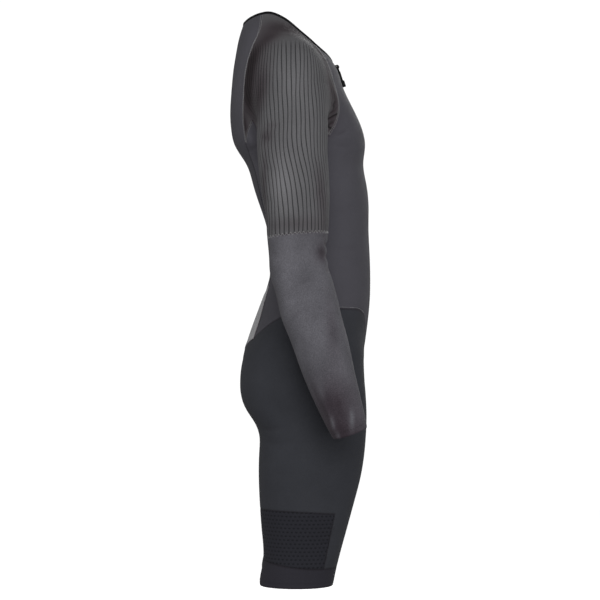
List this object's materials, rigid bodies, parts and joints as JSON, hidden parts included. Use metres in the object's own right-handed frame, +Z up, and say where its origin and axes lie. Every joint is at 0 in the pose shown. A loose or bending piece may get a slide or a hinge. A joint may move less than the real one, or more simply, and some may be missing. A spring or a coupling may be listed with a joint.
{
  "type": "cycling skinsuit",
  "caption": "Long-sleeved cycling skinsuit in one piece, worn with no wearer: grey body, ribbed upper sleeves, dark shorts with a dotted leg panel, front zip.",
  "frame": {"origin": "where the wearer's shoulders hold the suit, between the two sides of the neckline", "axes": "+Z up the standing suit, -Y the front with the zip, -X the suit's right-hand side"},
  "size_m": [0.6138, 0.2426, 0.9724],
  "materials": {
    "body_cloth": "smooth knit",
    "ribbed_cloth": "ribbed knit",
    "sleeve_cloth": "fine speckled knit",
    "shorts_cloth": "smooth dense knit",
    "dotted_cloth": "dimpled knit",
    "band_cloth": "smooth knit",
    "pocket_cloth": "fine diagonal mesh",
    "binding": "matt elastic",
    "zip_tape": "woven tape",
    "zip_metal": "black enamel"
  },
  "bodies": {
    "suit": {"front_right": "body_cloth", "front_left": "body_cloth", "sleeve_upper_right": "ribbed_cloth", "sleeve_upper_left": "ribbed_cloth", "sleeve_lower_right": "sleeve_cloth", "sleeve_lower_left": "sleeve_cloth", "shorts_right": "shorts_cloth", "shorts_left": "shorts_cloth", "leg_panel_right": "dotted_cloth", "leg_panel_left": "dotted_cloth", "leg_band_right": "band_cloth", "leg_band_left": "band_cloth", "zip_tape_right": "zip_tape", "zip_tape_left": "zip_tape", "back": "body_cloth", "back_pocket": "pocket_cloth", "neck_binding": "binding", "zip_slider": "zip_metal", "zip_stop": "zip_metal"},
    "zip_pull": {"zip_pull": "zip_metal"}
  },
  "joints": [
    {"name": "zip_pull_flip", "type": "hinge", "parent": "suit", "child": "zip_pull", "pos_m": [0, -0.09108, -0.0819], "axis": [-1, 0, 0], "range_deg": [0, 165]}
  ]
}
